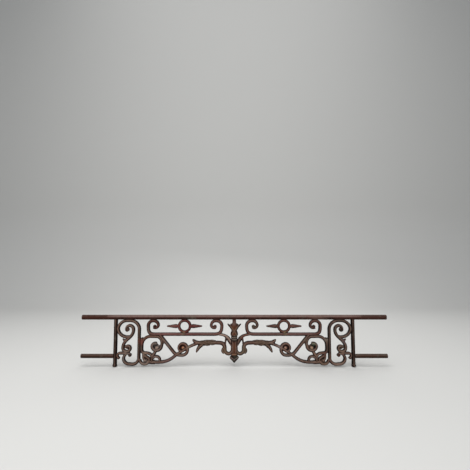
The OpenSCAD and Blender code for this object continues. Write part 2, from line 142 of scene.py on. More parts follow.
# A turned form: (radius, height) points spun about an axis through a centre
def turned(profile, centre, axis="z", sides=40, closed=False):
    profile = np.array(profile, float)
    angles = 2 * pi * np.arange(sides) / sides
    ring = np.array([[[r * cos(a), r * sin(a), h] for a in angles] for r, h in profile])
    order = {"z": (0, 1, 2), "y": (0, 2, 1), "x": (2, 0, 1)}[axis]
    verts = ring.reshape(-1, 3)[:, order] + np.array(centre, float)
    faces = []
    rows = len(profile)
    for i in range(rows if closed else rows - 1):
        j = (i + 1) % rows
        for k in range(sides):
            m = (k + 1) % sides
            faces.append((i * sides + k, i * sides + m, j * sides + m, j * sides + k))
    if not closed:
        faces += [tuple(range(sides)), tuple(range((rows - 1) * sides, rows * sides))]
    return verts, faces


# A round button that ends a curl: domed in front, flat behind
def button(place, diameter, dome=1.4, depth=12.0, dimple=0.0):
    r = diameter / 2
    front = -depth / 2
    profile = [(0.02, front - dome + dimple), (0.3 * r, front - dome + 0.9 * dimple),
               (0.5 * r, front - 0.8 * dome), (0.8 * r, front - 0.3 * dome), (r, front + 1.6),
               (r, depth / 2 - 1.2), (r - 1.2, depth / 2), (0.02, depth / 2)]
    return turned(profile, (place[0], 0, place[1]), axis="y", sides=32)


# Colours are sRGB hex, as read off a screen
def colour(code):
    values = [int(code[i:i + 2], 16) / 255 for i in (1, 3, 5)]
    return [v / 12.92 if v <= 0.04045 else ((v + 0.055) / 1.055) ** 2.4 for v in values] + [1.0]


# Adds a node: its own settings by name, its inputs as values or as sockets to link
def addNode(tree, kind, inputs=None, **settings):
    node = tree.nodes.new(kind)
    for name, value in settings.items():
        setattr(node, name, value)
    for key, value in (inputs or {}).items():
        if isinstance(value, bpy.types.NodeSocket):
            tree.links.new(value, node.inputs[key])
        else:
            node.inputs[key].default_value = value
    return node


def newGeometryTree(name, inputs):
    tree = bpy.data.node_groups.new(name, "GeometryNodeTree")
    tree.interface.new_socket("Geometry", in_out="INPUT", socket_type="NodeSocketGeometry")
    for label, kind, value in inputs:
        socket = tree.interface.new_socket(label, in_out="INPUT", socket_type="NodeSocket" + kind)
        if value is not None:
            socket.default_value = value
    tree.interface.new_socket("Geometry", in_out="OUTPUT", socket_type="NodeSocketGeometry")
    return tree


# Runs a tree on a mesh and gives back a plain mesh
def runTree(mesh, tree, values):
    holder = bpy.data.objects.new("holder", mesh)
    bpy.context.scene.collection.objects.link(holder)
    modifier = holder.modifiers.new(tree.name, "NODES")
    modifier.node_group = tree
    sockets = {item.name: item.identifier for item in tree.interface.items_tree
               if item.item_type == "SOCKET" and item.in_out == "INPUT"}
    for label, value in values.items():
        modifier[sockets[label]] = value
    graph = bpy.context.evaluated_depsgraph_get()
    result = bpy.data.meshes.new_from_object(holder.evaluated_get(graph), depsgraph=graph)
    bpy.data.objects.remove(holder)
    return result


# Sweeps a softened bar section along every path, in the flat, and stands the result up
def makeSweepTree():
    tree = newGeometryTree("sweepBar", [
        ("Width", "Float", guard["barWidth"] / 1000), ("Depth", "Float", guard["barDepth"] / 1000),
        ("Front Round", "Float", guard["frontRound"] / 1000),
        ("Back Round", "Float", guard["backRound"] / 1000), ("Round Steps", "Int", 4),
        ("Material", "Material", None)])
    start = addNode(tree, "NodeGroupInput")
    wide = addNode(tree, "GeometryNodeInputNamedAttribute", {"Name": "wide"}, data_type="FLOAT")
    deep = addNode(tree, "GeometryNodeInputNamedAttribute", {"Name": "deep"}, data_type="FLOAT")
    setBack = addNode(tree, "GeometryNodeInputNamedAttribute", {"Name": "setBack"}, data_type="FLOAT")
    path = addNode(tree, "GeometryNodeMeshToCurve", {"Mesh": start.outputs["Geometry"]})
    level = addNode(tree, "GeometryNodeSetCurveNormal", {"Curve": path.outputs[0]}, mode="Z_UP")
    section = addNode(tree, "GeometryNodeCurvePrimitiveQuadrilateral",
                      {"Width": start.outputs["Width"], "Height": start.outputs["Depth"]})
    place = addNode(tree, "GeometryNodeInputPosition")
    placeParts = addNode(tree, "ShaderNodeSeparateXYZ", {0: place.outputs[0]})
    isFront = addNode(tree, "ShaderNodeMath", {0: placeParts.outputs["Y"], 1: 0.0}, operation="LESS_THAN")
    cornerRound = addNode(tree, "ShaderNodeMix", {0: isFront.outputs[0], 2: start.outputs["Back Round"],
                                                  3: start.outputs["Front Round"]})
    soft = addNode(tree, "GeometryNodeFilletCurve",
                   {"Curve": section.outputs[0], "Count": start.outputs["Round Steps"],
                    "Radius": cornerRound.outputs[0], "Limit Radius": True}, mode="POLY")
    swept = addNode(tree, "GeometryNodeCurveToMesh",
                    {"Curve": level.outputs[0], "Profile Curve": soft.outputs[0],
                     "Scale": wide.outputs[0], "Fill Caps": True})
    upright = addNode(tree, "GeometryNodeTransform",
                      {"Geometry": swept.outputs[0], "Rotation": (pi / 2, 0, 0)})
    ratio = addNode(tree, "ShaderNodeMath", {0: deep.outputs[0], 1: wide.outputs[0]}, operation="DIVIDE")
    depthNow = addNode(tree, "ShaderNodeMath", {0: placeParts.outputs["Y"], 1: ratio.outputs[0],
                                                2: setBack.outputs[0]}, operation="MULTIPLY_ADD")
    newPlace = addNode(tree, "ShaderNodeCombineXYZ", {0: placeParts.outputs["X"], 1: depthNow.outputs[0],
                                                      2: placeParts.outputs["Z"]})
    sized = addNode(tree, "GeometryNodeSetPosition",
                    {"Geometry": upright.outputs[0], "Position": newPlace.outputs[0]})
    whole = addNode(tree, "GeometryNodeRealizeInstances", {"Geometry": sized.outputs[0]})
    dressed = addNode(tree, "GeometryNodeSetMaterial",
                      {"Geometry": whole.outputs[0], "Material": start.outputs["Material"]})
    addNode(tree, "NodeGroupOutput", {0: dressed.outputs[0]})
    return tree


# How uneven a sand casting is, in mm: long waves and a fine sandy grain
casting = {"waveHeight": 0.3, "waveSize": 16.0, "grainHeight": 0.12, "grainSize": 4.0}


# Makes a smooth casting uneven
def makeSkinTree():
    tree = newGeometryTree("castSkin", [
        ("Wave Height", "Float", casting["waveHeight"] / 1000),
        ("Wave Size", "Float", casting["waveSize"] / 1000),
        ("Grain Height", "Float", casting["grainHeight"] / 1000),
        ("Grain Size", "Float", casting["grainSize"] / 1000),
        ("Seed", "Float", 3.0), ("Material", "Material", None)])
    start = addNode(tree, "NodeGroupInput")
    place = addNode(tree, "GeometryNodeInputPosition")
    normal = addNode(tree, "GeometryNodeInputNormal")
    offsets = []
    for height, size, detail in (("Wave Height", "Wave Size", 1.0), ("Grain Height", "Grain Size", 2.0)):
        scale = addNode(tree, "ShaderNodeMath", {0: 1.0, 1: start.outputs[size]}, operation="DIVIDE")
        field = addNode(tree, "ShaderNodeTexNoise",
                        {"Vector": place.outputs[0], "W": start.outputs["Seed"],
                         "Scale": scale.outputs[0], "Detail": detail}, noise_dimensions="4D")
        centred = addNode(tree, "ShaderNodeMath", {0: field.outputs[0], 1: 0.5}, operation="SUBTRACT")
        offsets.append(addNode(tree, "ShaderNodeMath", {0: centred.outputs[0], 1: start.outputs[height]},
                               operation="MULTIPLY"))
    total = addNode(tree, "ShaderNodeMath", {0: offsets[0].outputs[0], 1: offsets[1].outputs[0]},
                    operation="ADD")
    push = addNode(tree, "ShaderNodeVectorMath", {0: normal.outputs[0], "Scale": total.outputs[0]},
                   operation="SCALE")
    rough = addNode(tree, "GeometryNodeSetPosition",
                    {"Geometry": start.outputs["Geometry"], "Offset": push.outputs[0]})
    smooth = addNode(tree, "GeometryNodeSetShadeSmooth", {"Geometry": rough.outputs[0]})
    whole = addNode(tree, "GeometryNodeRealizeInstances", {"Geometry": smooth.outputs[0]})
    dressed = addNode(tree, "GeometryNodeSetMaterial",
                      {"Geometry": whole.outputs[0], "Material": start.outputs["Material"]})
    addNode(tree, "NodeGroupOutput", {0: dressed.outputs[0]})
    return tree


sweepTree = makeSweepTree()
skinTree = makeSkinTree()


# Where a mesh's points are, or which way they face
def pointRows(mesh, what="co"):
    rows = np.empty(len(mesh.vertices) * 3)
    mesh.vertices.foreach_get(what, rows)
    return rows.reshape(-1, 3)


def meshArrays(mesh):
    return pointRows(mesh), [tuple(p.vertices) for p in mesh.polygons]


def arraysMesh(name, verts, faces):
    mesh = bpy.data.meshes.new(name)
    mesh.from_pydata(verts.tolist(), [], faces)
    mesh.update()
    return mesh


# Gives every point of a mesh a number that trees and materials can read
def addValues(mesh, name, values):
    mesh.attributes.new(name, "FLOAT", "POINT").data.foreach_set("value", values)


# Sweeps a list of bars into one mesh of closed tubes
def sweepBars(bars, material, frontRound=guard["frontRound"], backRound=guard["backRound"], steps=4,
              width=barWidth, depth=guard["barDepth"]):
    rows = np.vstack(bars)
    mesh = bpy.data.meshes.new("paths")
    edges, first = [], 0
    for one in bars:
        edges += [(first + i, first + i + 1) for i in range(len(one) - 1)]
        first += len(one)
    flat = np.column_stack([rows[:, 0], rows[:, 1], np.zeros(len(rows))]) / 1000
    mesh.from_pydata(flat.tolist(), edges, [])
    addValues(mesh, "wide", rows[:, 2] / width)
    addValues(mesh, "deep", rows[:, 3] / depth)
    addValues(mesh, "setBack", rows[:, 4] / 1000)
    return runTree(mesh, sweepTree, {
        "Width": width / 1000, "Depth": depth / 1000, "Front Round": frontRound / 1000,
        "Back Round": backRound / 1000, "Round Steps": steps, "Material": material})


# Fuses bars and turned forms into one casting with small fillets where they meet
def fuse(bars, forms, material, voxel=guard["voxel"]):
    verts, faces = meshArrays(sweepBars(bars, material))
    for formVerts, formFaces in forms:
        faces = faces + [tuple(len(verts) + i for i in f) for f in formFaces]
        verts = np.vstack([verts, formVerts / 1000])
    holder = bpy.data.objects.new("fusing", arraysMesh("fusing", verts, faces))
    bpy.context.scene.collection.objects.link(holder)
    remesh = holder.modifiers.new("fuse", "REMESH")
    remesh.mode = "VOXEL"
    remesh.voxel_size = voxel / 1000
    soften = holder.modifiers.new("soften", "SMOOTH")
    soften.factor = 0.5
    soften.iterations = guard["smoothing"]
    graph = bpy.context.evaluated_depsgraph_get()
    result = bpy.data.meshes.new_from_object(holder.evaluated_get(graph), depsgraph=graph)
    bpy.data.objects.remove(holder)
    return meshArrays(result)


# A round bar across the guard, swept as a square whose corners are rounded until they meet
def roundBar(start, end, z, diameter, material, spacing, steps):
    corner = diameter * guard["cornerShare"]
    path = bar([(start, z), (end, z)], diameter, diameter, spacing=spacing)
    return meshArrays(sweepBars([path], material, corner, corner, steps, diameter, diameter))


# How rubbed edges, partly a painted highlight, and hollows darkened by grime and painted shade are read from
# the way a surface bends
bendMarks = {"narrowPasses": 2, "widePasses": 8, "edgeGain": 6, "edgeStart": 0.35, "hollowGain": 5,
        "wideGain": 8, "hollowShare": 0.6}


# Marks rubbed edges, partly a painted highlight, and hollows darkened by grime and painted shade on a mesh
def markWearAndHollowShade(mesh):
    verts, normals = pointRows(mesh), pointRows(mesh, "normal")
    count = len(verts)
    edges = np.empty(len(mesh.edges) * 2, int)
    mesh.edges.foreach_get("vertices", edges)
    a, b = edges.reshape(-1, 2).T
    degree = np.bincount(np.concatenate([a, b]), minlength=count).astype(float)

    def around(values):
        total = np.zeros((count,) + values.shape[1:])
        np.add.at(total, a, values[b])
        np.add.at(total, b, values[a])
        return (total.T / degree).T

    length = np.linalg.norm(verts[a] - verts[b], axis=1).mean()
    bend = np.einsum("ij,ij->i", around(verts) - verts, normals) / length
    for i in range(bendMarks["narrowPasses"]):
        bend = 0.5 * bend + 0.5 * around(bend)
    wide = bend.copy()
    for i in range(bendMarks["widePasses"]):
        wide = 0.5 * wide + 0.5 * around(wide)
    hollowDirtAndShade = np.clip(bend * bendMarks["hollowGain"], 0, 1) + np.clip(wide * bendMarks["wideGain"], 0, 1)
    addValues(mesh, "edgeWearAndHighlight", np.clip(-bend * bendMarks["edgeGain"] - bendMarks["edgeStart"], 0, 1))
    addValues(mesh, "hollowDirtAndShade", np.clip(hollowDirtAndShade * bendMarks["hollowShare"], 0, 1))


# Where the painted highlight along each bar's ridge and the painted shade on the rims to either side lie, as
# shares of half its width; both are raised a little, as light from above would fall
ridge = {"crestTop": 1.5, "crestFall": 2.6, "crestLift": 0.25, "rimStart": 0.47, "rimLift": 0.16,
         "rimWidth": 0.28, "rimReach": 1.25}


# Marks a painted highlight along the ridge of every bar and painted shade on the rims to either side of it
def markCrestHighlightAndRimShade(mesh, paths, side):
    rows = []
    for path in paths:
        for p, q in zip(path, path[1:]):
            rows += [p[:3] + (q[:3] - p[:3]) * t for t in (0, 0.25, 0.5, 0.75)]
    nearest = KDTree(len(rows))
    for i, (x, z, width) in enumerate(rows):
        nearest.insert((x, z, 0), i)
    nearest.balance()
    crestHighlight, rimShade = [], []
    for vertex in mesh.vertices:
        x, z = (vertex.co[0] * 1000 - guard["middle"]) * side, vertex.co[2] * 1000
        place, i, distance = nearest.find((x, z, 0))
        half = rows[i][2] / 2
        up = (z - place[1]) / half
        offCrest = hypot(x - place[0], z - place[1] - ridge["crestLift"] * half) / half
        crestHighlight.append(ridge["crestTop"] - ridge["crestFall"] * offCrest)
        isNear = distance < ridge["rimReach"] * half
        rimShade.append((distance / half - ridge["rimStart"] - ridge["rimLift"] * up) / ridge["rimWidth"]
                   if isNear else 0.0)
    addValues(mesh, "crestHighlight", np.clip(crestHighlight, 0, 1))
    addValues(mesh, "rimShade", np.clip(rimShade, 0, 1))


# How far points lie from a drawn line, as seen from the front
def lineDistance(x, z, points):
    best = np.hypot(x - points[0][0], z - points[0][1])
    for (ax, az), (bx, bz) in zip(points, points[1:]):
        dx, dz = bx - ax, bz - az
        t = np.clip(((x - ax) * dx + (z - az) * dz) / (dx * dx + dz * dz), 0, 1)
        best = np.minimum(best, np.hypot(x - ax - t * dx, z - az - t * dz))
    return best


# Stain marks, painted highlights and painted shade are spots, stripes or streaks: points, radius, colour and
# strength, and later ones lie on top
def spot(x, z, radius, code, strength):
    return [(x, z)], radius, code, strength


def stripe(start, end, z, radius, code, strength):
    return [(start, z), (end, z)], radius, code, strength


markEdge = 1.6      # Stain marks and painted highlights and shade are full up to 1 - 1 / 1.6 of their radius and then fade


def paintStainsAndShading(mesh, stainsAndShading):
    x, y, z = pointRows(mesh).T * 1000
    x -= guard["middle"]
    tint, amount = np.zeros((len(x), 3)), np.zeros(len(x))
    for points, radius, code, strength in stainsAndShading:
        near = strength * np.clip(markEdge - markEdge * lineDistance(x, z, points) / radius, 0, 1)
        total = near + amount * (1 - near)
        share = near / np.maximum(total, 1e-6)
        tint += ((np.array(colour(code)[:3]) - tint).T * share).T
        amount = total
    values = np.column_stack([tint, amount])
    mesh.attributes.new("stainAndShading", "FLOAT_COLOR", "POINT").data.foreach_set("color", values.ravel())


# Turns finished points into a piece of the guard that stands for its CAD nodes
def makePiece(name, arrays, material, replaced, seed, side=1, wave=casting["waveHeight"],
              grain=casting["grainHeight"], stainsAndShading=(), paths=()):
    verts, faces = arrays
    verts = verts.copy()
    if side < 0:
        verts[:, 0] *= -1
        faces = [f[::-1] for f in faces]
    verts[:, 0] += guard["middle"] / 1000
    mesh = runTree(arraysMesh(name, verts, faces), skinTree,
                   {"Wave Height": wave / 1000, "Grain Height": grain / 1000, "Seed": seed,
                    "Material": material})
    mesh.name = name
    # nothing may stand out of this box
    low, high = (np.array(corner) for corner in cadBox)        # points outside this box are clipped back onto it
    mesh.vertices.foreach_set("co", np.clip(pointRows(mesh), low, high).ravel())
    mesh.update()
    markWearAndHollowShade(mesh)
    if paths:
        markCrestHighlightAndRimShade(mesh, paths, side)
    paintStainsAndShading(mesh, stainsAndShading)
    piece = bpy.data.objects.new(name, mesh)
    bpy.context.scene.collection.objects.link(piece)
    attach(piece, "root")
    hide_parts(*replaced)
    print(name, "has", sum(len(p.vertices) - 2 for p in mesh.polygons), "triangles")


# Cast iron that has rusted under the last of its paint: matt, red-brown and pitted, with the
# hollows darkened near black by grime and painted shade, and the tops greyed by weathering, which also
# stands in as painted light from above
def makeIron(name, look):
    material = bpy.data.materials.new(name)
    material.use_nodes = True
    tree = material.node_tree
    tree.nodes.clear()
    place = addNode(tree, "ShaderNodeTexCoord").outputs["Object"]

    # Noise whose size is in mm
    def clouds(size, detail=5.0, rough=0.55, seed=0.0, warp=0.0):
        return addNode(tree, "ShaderNodeTexNoise",
                       {"Vector": place, "W": seed, "Scale": 1000 / size, "Detail": detail,
                        "Roughness": rough, "Distortion": warp}, noise_dimensions="4D").outputs[0]

    def between(value, low, high, bottom=0.0, top=1.0):
        return addNode(tree, "ShaderNodeMapRange",
                       {"Value": value, "From Min": low, "From Max": high, "To Min": bottom,
                        "To Max": top}, interpolation_type="SMOOTHSTEP").outputs[0]

    def blend(amount, first, second, how="MIX"):
        return addNode(tree, "ShaderNodeMix", {0: amount, 6: first, 7: second},
                       data_type="RGBA", blend_type=how).outputs[2]

    def product(first, second):
        return addNode(tree, "ShaderNodeMath", {0: first, 1: second}, operation="MULTIPLY").outputs[0]

    def marked(label):
        return addNode(tree, "ShaderNodeAttribute", attribute_name=label)

    # Oxide in patches, with paint left in places and fresh rust breaking through
    oxide = addNode(tree, "ShaderNodeValToRGB", {0: clouds(look["patchSize"], 6.0, 0.62)})
    ramp = oxide.color_ramp
    ramp.elements[0].position, ramp.elements[0].color = 0.34, colour(look["dark"])
    ramp.elements[1].position, ramp.elements[1].color = 0.68, colour(look["light"])
    ramp.elements.new(0.5).color = colour(look["middle"])
    skin = oxide.outputs[0]
    primer = between(clouds(look["paintSize"], 7.0, 0.6, 5.0), look["paintFrom"], look["paintFrom"] + 0.07)
    skin = blend(product(primer, look["paintAmount"]), skin, colour(look["paint"]))
    rust = between(clouds(look["rustSize"], 8.0, 0.7, 9.0, 0.6), look["rustFrom"], look["rustFrom"] + 0.12)
    skin = blend(product(rust, look["rustAmount"]), skin, colour(look["rust"]))

    # Stain marks with painted highlights and shade, broken up by patches of about 8 mm, and lichen in
    # patches of about 26 mm
    stainAndShading = marked("stainAndShading")
    stainedAndShaded = product(stainAndShading.outputs["Alpha"], between(clouds(8.0, 6.0, 0.65, 90.0), 0.25, 0.55, 0.45, 1.0))
    skin = blend(stainedAndShaded, skin, stainAndShading.outputs["Color"])
    lichen = between(clouds(26.0, 6.0, 0.6, 14.0), 0.56, 0.68)
    skin = blend(product(lichen, look["lichenAmount"]), skin, colour(look["lichen"]))

    # Painted highlights along the ridges, which staining dulls; painted shade on the rims and on flanks
    # turned away from the camera; and grey weathering with painted top light on what faces the sky
    normal = addNode(tree, "ShaderNodeNewGeometry").outputs["Normal"]
    facing = addNode(tree, "ShaderNodeSeparateXYZ", {0: normal})
    upward = facing.outputs["Z"]
    crestHighlight = marked("crestHighlight").outputs["Fac"]
    dulledHighlight = product(crestHighlight, between(clouds(12.0, 5.0, 0.6, 80.0), 0.28, 0.58, 0.35, 1.0))
    dulledHighlight = product(dulledHighlight, between(stainAndShading.outputs["Alpha"], 0.0, 1.0, 1.0, 0.3))
    skin = blend(product(dulledHighlight, look["crestHighlightAmount"]), skin, colour(look["crestHighlight"]))
    rimShade = marked("rimShade").outputs["Fac"]
    skin = blend(product(rimShade, look["rimShadeAmount"]), skin, colour(look["dirtAndShade"]))
    # Flanks turned away from the camera are darkened: painted shade
    across = addNode(tree, "ShaderNodeMath", {0: facing.outputs["Y"]}, operation="ABSOLUTE").outputs[0]
    flankShade = between(across, 0.15, 0.8, 1.0, 0.0)
    skin = blend(product(flankShade, look["flankShadeAmount"]), skin, colour(look["dirtAndShade"]))
    # Paler grey on what faces up: weathering, and painted light from above
    filmAndTopLight = product(between(upward, 0.15, 0.85), between(clouds(9.0, 5.0, 0.6, 21.0), 0.3, 0.62))
    skin = blend(product(filmAndTopLight, look["filmAndTopLightAmount"]), skin, colour(look["filmAndTopLight"]))

    # Rubbed edges, partly a painted highlight, and hollows darkened by grime and painted shade
    wornAndHighlit = product(marked("edgeWearAndHighlight").outputs["Fac"], between(clouds(5.0, 4.0, 0.6, 30.0), 0.36, 0.6))
    skin = blend(product(wornAndHighlit, look["wornEdgeAndHighlightAmount"]), skin, colour(look["wornEdgeAndHighlight"]))
    hollowDirtAndShade = marked("hollowDirtAndShade").outputs["Fac"]
    skin = blend(product(hollowDirtAndShade, look["hollowDirtAndShadeAmount"]), skin, colour(look["dirtAndShade"]))

    # Grit and pits, coarser than life so that they show
    speckle = clouds(1.6, 2.0, 0.7, 40.0)
    skin = blend(0.55, skin, addNode(tree, "ShaderNodeValToRGB", {0: speckle}).outputs[0], "SOFT_LIGHT")
    pits = addNode(tree, "ShaderNodeTexVoronoi", {"Vector": place, "Scale": 1000 / 2.6,
                                                 "Randomness": 1.0}).outputs["Distance"]
    pitted = product(between(pits, 0.0, 0.42, 1.0, 0.0), between(clouds(11.0, 4.0, 0.6, 50.0), 0.44, 0.6))
    skin = blend(product(pitted, 0.55), skin, colour(look["dirtAndShade"]))

    # Rust scale of about 4.5 mm as bumps, and the pits as small holes
    scale = addNode(tree, "ShaderNodeBump",
                    {"Height": clouds(4.5, 6.0, 0.65, 60.0), "Strength": 0.55, "Distance": 0.0012})
    holes = addNode(tree, "ShaderNodeBump",
                    {"Height": pitted, "Normal": scale.outputs[0], "Strength": 0.6, "Distance": 0.0007},
                    invert=True)
    roughness = addNode(tree, "ShaderNodeMapRange",
                        {"Value": clouds(7.0, 5.0, 0.6, 70.0), "From Min": 0.3, "From Max": 0.7,
                         "To Min": look["rough"] - 0.1, "To Max": look["rough"] + 0.12}).outputs[0]
    finish = addNode(tree, "ShaderNodeBsdfPrincipled",
                     {"Base Color": skin, "Roughness": roughness, "Normal": holes.outputs[0],
                      "Metallic": product(wornAndHighlit, 0.35), "Specular IOR Level": 0.05})
    addNode(tree, "ShaderNodeOutputMaterial", {"Surface": finish.outputs[0]})
    return material


rustedIron = makeIron("rusted_cast_iron", {
    "dark": "#231713", "middle": "#34241e", "light": "#48362a", "patchSize": 30.0,
    "paint": "#462823", "paintSize": 60.0, "paintFrom": 0.5, "paintAmount": 0.6,
    "rust": "#5b321b", "rustSize": 15.0, "rustFrom": 0.55, "rustAmount": 0.55,
    "lichen": "#56574c", "lichenAmount": 0.45, "filmAndTopLight": "#6d615b", "filmAndTopLightAmount": 0.2,
    "wornEdgeAndHighlight": "#8a766c", "wornEdgeAndHighlightAmount": 0.14, "dirtAndShade": "#130d0c", "hollowDirtAndShadeAmount": 0.8, "flankShadeAmount": 0.75,
    "crestHighlight": "#8c7265", "crestHighlightAmount": 0.6, "rimShadeAmount": 0.85, "rough": 0.76})
redPrimer = makeIron("weathered_red_lead_paint", {
    "dark": "#211411", "middle": "#352019", "light": "#47302a", "patchSize": 40.0,
    "paint": "#42251f", "paintSize": 48.0, "paintFrom": 0.45, "paintAmount": 0.7,
    "rust": "#543020", "rustSize": 13.0, "rustFrom": 0.58, "rustAmount": 0.5,
    "lichen": "#5d5c50", "lichenAmount": 0.4, "filmAndTopLight": "#756760", "filmAndTopLightAmount": 0.22,
    "wornEdgeAndHighlight": "#93796f", "wornEdgeAndHighlightAmount": 0.14, "dirtAndShade": "#160e0d", "hollowDirtAndShadeAmount": 0.75, "flankShadeAmount": 0.72,
    "crestHighlight": "#866259", "crestHighlightAmount": 0.5, "rimShadeAmount": 0.78, "rough": 0.7})
print("materials made")

# Outer end of the panel: crook, stem and hook, with an S scroll inside and a curl on the post
ends = {
    "crookTip": (372, -69.5), "crook": (377.8, -41), "crookRadii": [28.5, 37.8, 29, 37.8],
    "hook": (372, -145), "hookRadii": [32, 19, 22.5, 18],
    "sTop": (374.8, -43.5), "sTopRadii": [13, 14, 14],
    "sFoot": (383, -108), "sFootRadii": [14.5, 12.5, 12, 7.5, 4],
    "curl": (408, -134.5), "curlRadius": 8, "tipWidth": 5.6,
}
crook = turn(ends["crook"], -90, 1, ends["crookRadii"])
hook = turn(ends["hook"], 180, 1, ends["hookRadii"])
outer = [ends["crookTip"]] + crook + hook
sUpper = turn(ends["sTop"], 0, 1, ends["sTopRadii"])
sLower = turn(ends["sFoot"], 0, -1, ends["sFootRadii"])
sScroll = sUpper + link(sUpper[-1], -92, sLower[0], -90, 0.42) + sLower
curl = [(384, -126.5), (391, -126)] + turn(ends["curl"], 90, -1, [ends["curlRadius"]] * 3)
endBars = [
    bar(outer, taper(outer, barWidth, barWidth, ends["tipWidth"])),
    bar(sScroll, taper(sScroll, ends["tipWidth"], barWidth, ends["tipWidth"], 20, 30)),
    bar(curl, taper(curl, barWidth, barWidth, ends["tipWidth"])),
    bar([(383, -86.5), (391, -82.5), (399, -75.5)], [6, 9, 2.5], [11, 10, 6]),      # spur on the S scroll
]
endForms = [
    button((382.5, -43.5), 15, dimple=0.9), button((380, -106), 11, dimple=0.6),
    button((371.5, -132.5), 12, dimple=0.8), button((411.5, -142.5), 9),
]

# Arch beside the stem and its volute, the knot and loop under it, and the half ring
arch = {
    "foot": (293, -151.5), "knot": (311, -126), "legX": 330.5, "legZ": -112, "legWidth": 12,
    "arch": (298.5, -99.5), "archRadius": 32,
    "volute": (277, -101.5), "voluteRadii": [34, 17, 15.5, 16.5, 9],
    "loop": (319, -148), "loopRadii": [17, 16, 17], "loopEnd": (318, -135.5),
    "low": [(305, -155.5), (270, -157.5)], "node": (206, -131),
    "half": (278, -150.5), "halfRadius": 13.2, "halfWidth": 9,
}
legPoint = (arch["legX"], arch["legZ"])
archLine = ([arch["foot"]] + link(arch["foot"], 92, arch["knot"], 5, 0.5) + [arch["knot"]]
            + link(arch["knot"], 0, legPoint, 90, 0.5) + [legPoint]
            + turn(arch["arch"], 0, 1, [arch["archRadius"]] * 2)
            + turn(arch["volute"], 90, 1, arch["voluteRadii"])[1:])
archWidths = [arch["legWidth"] if x > arch["legX"] - 2 else barWidth if z > -126 else barWidth - 1
              for x, z in archLine]
loop = turn(arch["loop"], 0, -1, arch["loopRadii"])
loopLine = loop + link(loop[-1], 62, arch["loopEnd"], 38, 0.35) + [arch["loopEnd"]]
lowStart, lowMiddle = arch["low"]
lowLine = ([lowStart] + link(lowStart, 190, lowMiddle, 180) + [lowMiddle]
           + link(lowMiddle, 180, arch["node"], 136, 0.38) + [arch["node"]])
archBars = [
    bar(archLine, archWidths),
    bar([(arch["legX"], -99.5), (arch["legX"], -77)], [12, 10]),            # the leg runs on to its stub
    bar(loopLine, barWidth - 1),
    bar([(321.5, -126), (323, -136), (321.5, -146), (316, -152)],           # band that ties the knot
        [12, 10, 9, 9], [11, 11, 9, 9]),
    bar(lowLine, [barWidth + 3 if x > 283 else barWidth for x, z in lowLine]),
    bar(turn(arch["half"], 30, 1, [arch["halfRadius"]] * 3), arch["halfWidth"]),
    bar([(279, -118.5), (284, -125.5), (291.5, -137)], [9, 11, 13]),        # tie up to the volute
    bar([(257, -76), (253, -85), (250.5, -92.5)], [8, 8, 4], 9),            # web under the shoulder
]
archForms = [
    turned([(0.02, -4.6), (3.5, -4.2), (6, -2.6), (7.4, 0.2), (8, 1.2), (13, 1.2), (13, 3.6), (0.02, 3.6)],
           (276.5, 0, -107.5), axis="y"),                                   # domed disc in the volute
    button((282, -94), 15, 1.6), button((328, -77.1), 12, 1.6), button((314, -153.5), 19, 0.6, 9, 0.9),
]

# Diagonal bar and its roll, and the leaf branch that crosses it to the middle
branch = {
    "top": (266, -62), "foot": (217, -122), "underRoll": (185.5, -115.5), "underRadii": [18, 18.5],
    "roll": (184, -108.5), "rollRadii": [15.5, 15.5, 14.5, 11.5], "rollTip": 7.2,
    "stalkEnd": (136, -94), "innerStart": (56, -90), "turn": (20, -110), "turnRadii": [14, 18.5, 12],
}
under = turn(branch["underRoll"], -90, -1, branch["underRadii"])
roll = under + turn(branch["roll"], 180, -1, branch["rollRadii"])[1:]
diagonal = [branch["top"], branch["foot"]] + link(branch["foot"], 230, roll[0], 180, 0.4, 8) + roll
stalk = [arch["node"]] + link(arch["node"], 150, branch["stalkEnd"], 165, 0.3) + [branch["stalkEnd"]]
sheath = [(132, -91), (121, -92), (110, -91.5), (99, -90), (88, -89), (77, -88.5), (66, -89)]
uTurn = turn(branch["turn"], 0, -1, branch["turnRadii"])
inner = ([branch["innerStart"]] + link(branch["innerStart"], 180, uTurn[0], -90, 0.5, 8) + uTurn
         + [(7.5, -102), (7, -94)])
innerWidths = list(np.linspace(13.5, 14, 9)) + list(np.linspace(14, 9.5, len(uTurn) - 1)) + [8, 5]
